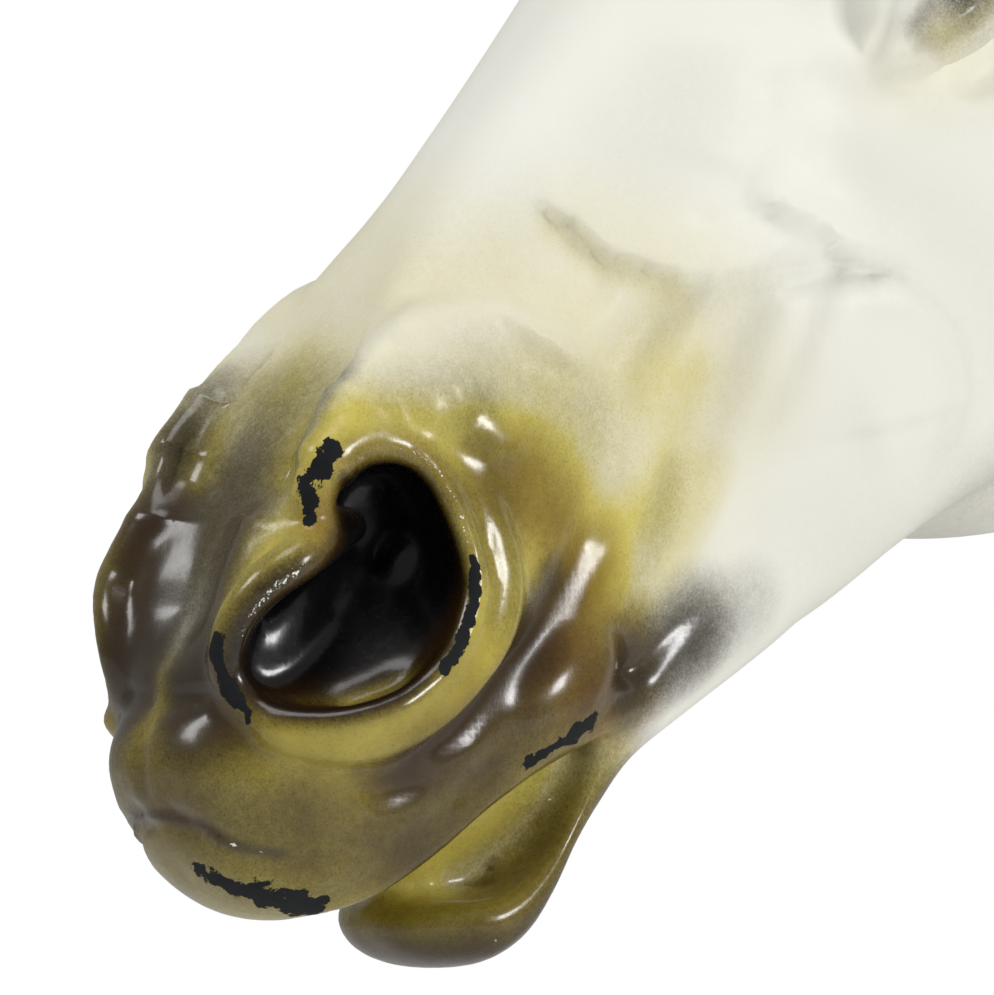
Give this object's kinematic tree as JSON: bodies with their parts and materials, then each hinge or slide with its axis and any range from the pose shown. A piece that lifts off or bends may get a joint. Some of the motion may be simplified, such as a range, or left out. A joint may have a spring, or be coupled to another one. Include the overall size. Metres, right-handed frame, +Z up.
{
  "type": "plaster horse head bust",
  "caption": "Painted plaster bust of a horse's head and arched neck, cast in one piece and cut flat below, mouth slightly open and ears pricked.",
  "frame": {"origin": "on the flat underside, under the middle of the bounding box", "axes": "+Z up, -Y the way the horse faces, +X to the horse's left"},
  "size_m": [0.126, 0.364, 0.4778],
  "materials": {
    "painted_plaster": "airbrushed paint on plaster under a clear gloss coat"
  },
  "bodies": {
    "root": {"horse_head_bust": "painted_plaster"}
  },
  "joints": []
}
